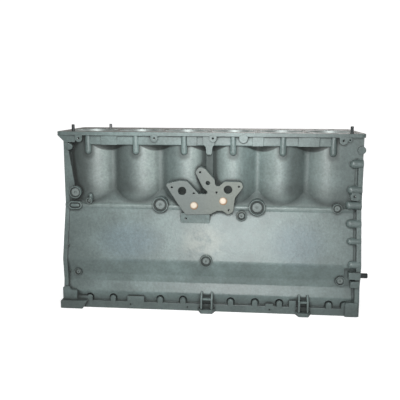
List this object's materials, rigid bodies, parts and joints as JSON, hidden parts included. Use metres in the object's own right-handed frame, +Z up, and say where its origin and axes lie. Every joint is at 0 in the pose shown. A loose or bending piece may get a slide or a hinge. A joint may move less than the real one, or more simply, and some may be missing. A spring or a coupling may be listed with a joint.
{
  "type": "engine block",
  "caption": "Bare cast cylinder block of an inline diesel engine, with main caps, threaded and pressed plugs, dowels and a machined oil-cooler pad on its long side.",
  "frame": {"origin": "on the crankshaft axis, midway along the cylinder row", "axes": "+X along the crankshaft towards the flywheel end, +Z up the cylinder bores, +Y towards the camshaft side"},
  "size_m": [0.932, 0.35, 0.558],
  "materials": {
    "bolt_steel": "black oxide bolts",
    "bushing_metal": "plain bearing lining",
    "cap_iron": "bare cast iron, machined on the joint faces",
    "cast_paint": "dull grey-green paint over a sand-cast surface, machined faces bare",
    "cup_steel": "zinc-plated pressed steel",
    "pin_steel": "ground steel",
    "plug_brass": "bright pressed brass",
    "plug_steel": "steel plugs dulled by overspray"
  },
  "bodies": {
    "root": {"cam_bushing_1": "bushing_metal", "cam_bushing_2": "bushing_metal", "cam_bushing_3": "bushing_metal", "cam_bushing_4": "bushing_metal", "cam_bushing_5": "bushing_metal", "cam_bushing_6": "bushing_metal", "cam_bushing_7": "bushing_metal", "cam_rear_plug": "cup_steel", "cooler_pad_plug_front": "plug_brass", "cooler_pad_plug_rear": "plug_brass", "crankcase_plug": "plug_steel", "cup_plug_1": "cup_steel", "cup_plug_2": "cup_steel", "cup_plug_3": "cup_steel", "cup_plug_4": "cup_steel", "deck_pin_front": "pin_steel", "deck_pin_inner": "pin_steel", "deck_pin_rear": "pin_steel", "engine_block": "cast_paint", "front_dowel_far": "pin_steel", "front_dowel_near": "pin_steel", "gallery_end_plug_front": "plug_steel", "gallery_end_plug_rear": "plug_steel", "gallery_plug_end": "plug_steel", "gallery_plug_front": "plug_steel", "gallery_plug_rear": "plug_steel", "gallery_plug_small": "plug_steel", "lower_plug_front": "plug_steel", "lower_plug_rear": "plug_steel", "main_cap_1": "cap_iron", "main_cap_2": "cap_iron", "main_cap_3": "cap_iron", "main_cap_4": "cap_iron", "main_cap_5": "cap_iron", "main_cap_6": "cap_iron", "main_cap_7": "cap_iron", "main_cap_bolts": "bolt_steel", "rear_dowel_far": "pin_steel", "rear_dowel_near": "pin_steel", "sender_plug": "plug_steel", "sensor_plug": "plug_steel"}
  },
  "joints": []
}
